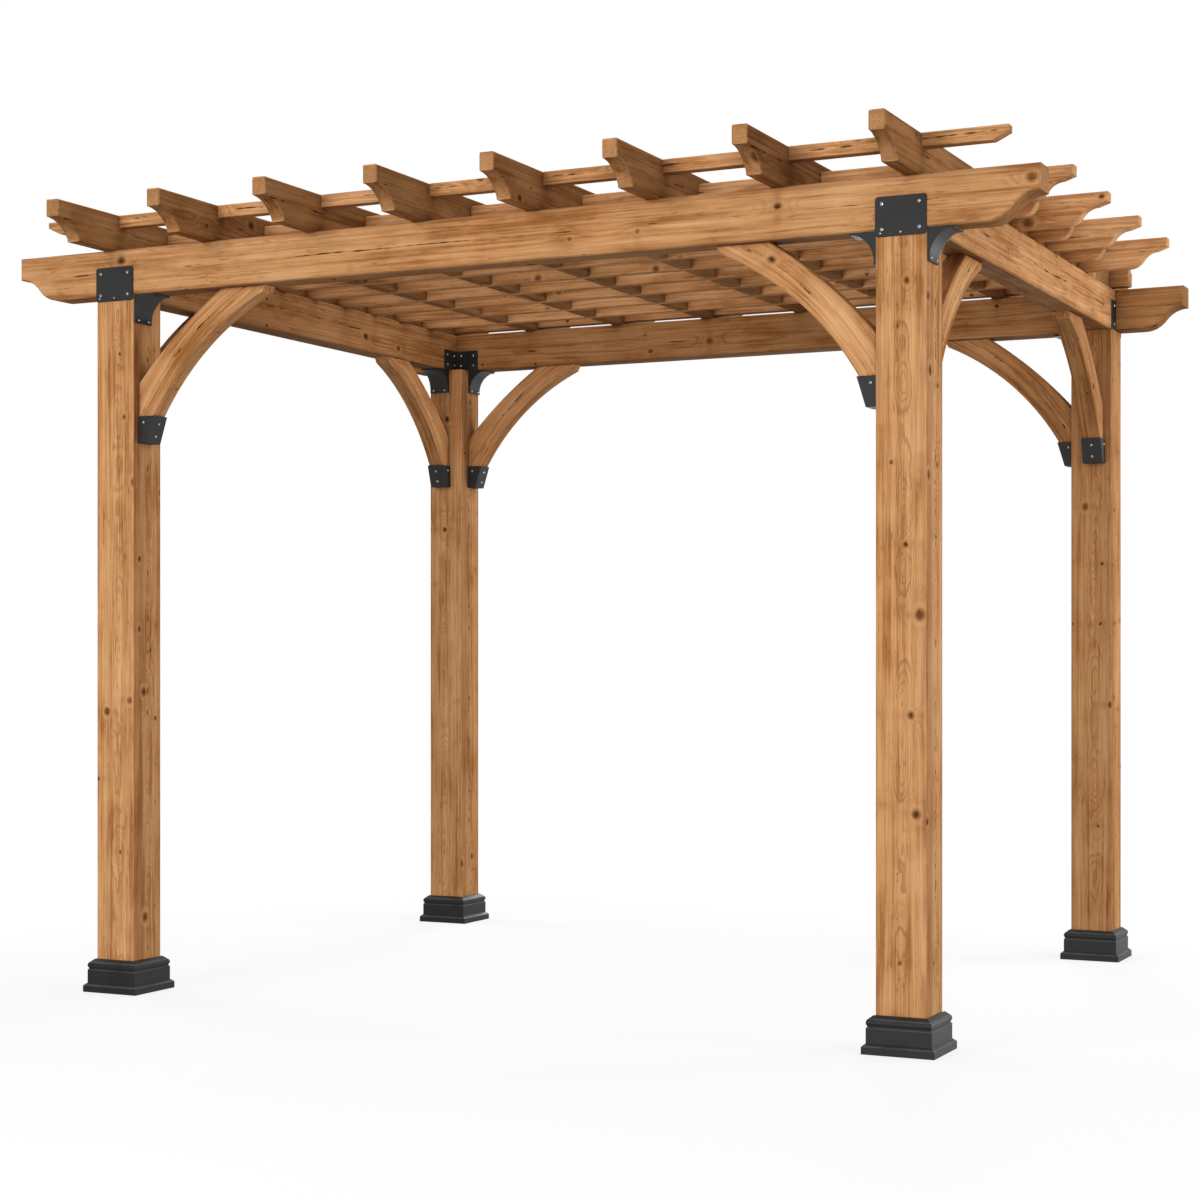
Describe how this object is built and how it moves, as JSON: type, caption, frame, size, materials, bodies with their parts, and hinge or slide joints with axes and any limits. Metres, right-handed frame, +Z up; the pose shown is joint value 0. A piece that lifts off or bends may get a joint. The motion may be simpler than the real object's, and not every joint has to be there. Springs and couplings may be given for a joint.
{
  "type": "wooden pergola",
  "caption": "Free-standing stained cedar pergola: square posts with moulded base trims, ogee-ended beams, arched knee braces in black steel shoes, and coved rafters half-lapped with deep cross boards.",
  "frame": {"origin": "centre of the plan at ground level, under the middle of the roof", "axes": "+X along the front beam to the right, +Y from the front to the back, +Z up"},
  "size_m": [3.28, 2.752, 2.412],
  "materials": {
    "cedar": "sawn and planed cedar with a warm brown stain, knots and fine checks",
    "black_steel": "matte black powder coat",
    "base_trim": "satin charcoal coat, slightly dusty"
  },
  "bodies": {
    "root": {"post_front_left": "cedar", "base_trim_front_left": "base_trim", "long_brace_front_left": "cedar", "side_brace_front_left": "cedar", "brace_shoes_front_left": "black_steel", "angle_brackets_front_left": "black_steel", "post_front_right": "cedar", "base_trim_front_right": "base_trim", "long_brace_front_right": "cedar", "side_brace_front_right": "cedar", "brace_shoes_front_right": "black_steel", "angle_brackets_front_right": "black_steel", "post_rear_left": "cedar", "base_trim_rear_left": "base_trim", "long_brace_rear_left": "cedar", "side_brace_rear_left": "cedar", "brace_shoes_rear_left": "black_steel", "angle_brackets_rear_left": "black_steel", "post_rear_right": "cedar", "base_trim_rear_right": "base_trim", "long_brace_rear_right": "cedar", "side_brace_rear_right": "cedar", "brace_shoes_rear_right": "black_steel", "angle_brackets_rear_right": "black_steel", "front_beam": "cedar", "rear_beam": "cedar", "left_beam": "cedar", "right_beam": "cedar", "rafter_1": "cedar", "rafter_2": "cedar", "rafter_3": "cedar", "rafter_4": "cedar", "rafter_5": "cedar", "rafter_6": "cedar", "rafter_7": "cedar", "rafter_8": "cedar", "front_slat": "cedar", "rear_slat": "cedar", "inner_slats": "cedar", "left_rafter_tails": "cedar", "right_rafter_tails": "cedar", "front_beam_plates": "black_steel", "rear_beam_plates": "black_steel", "side_beam_plates": "black_steel", "inner_corner_plates": "black_steel"}
  },
  "joints": []
}
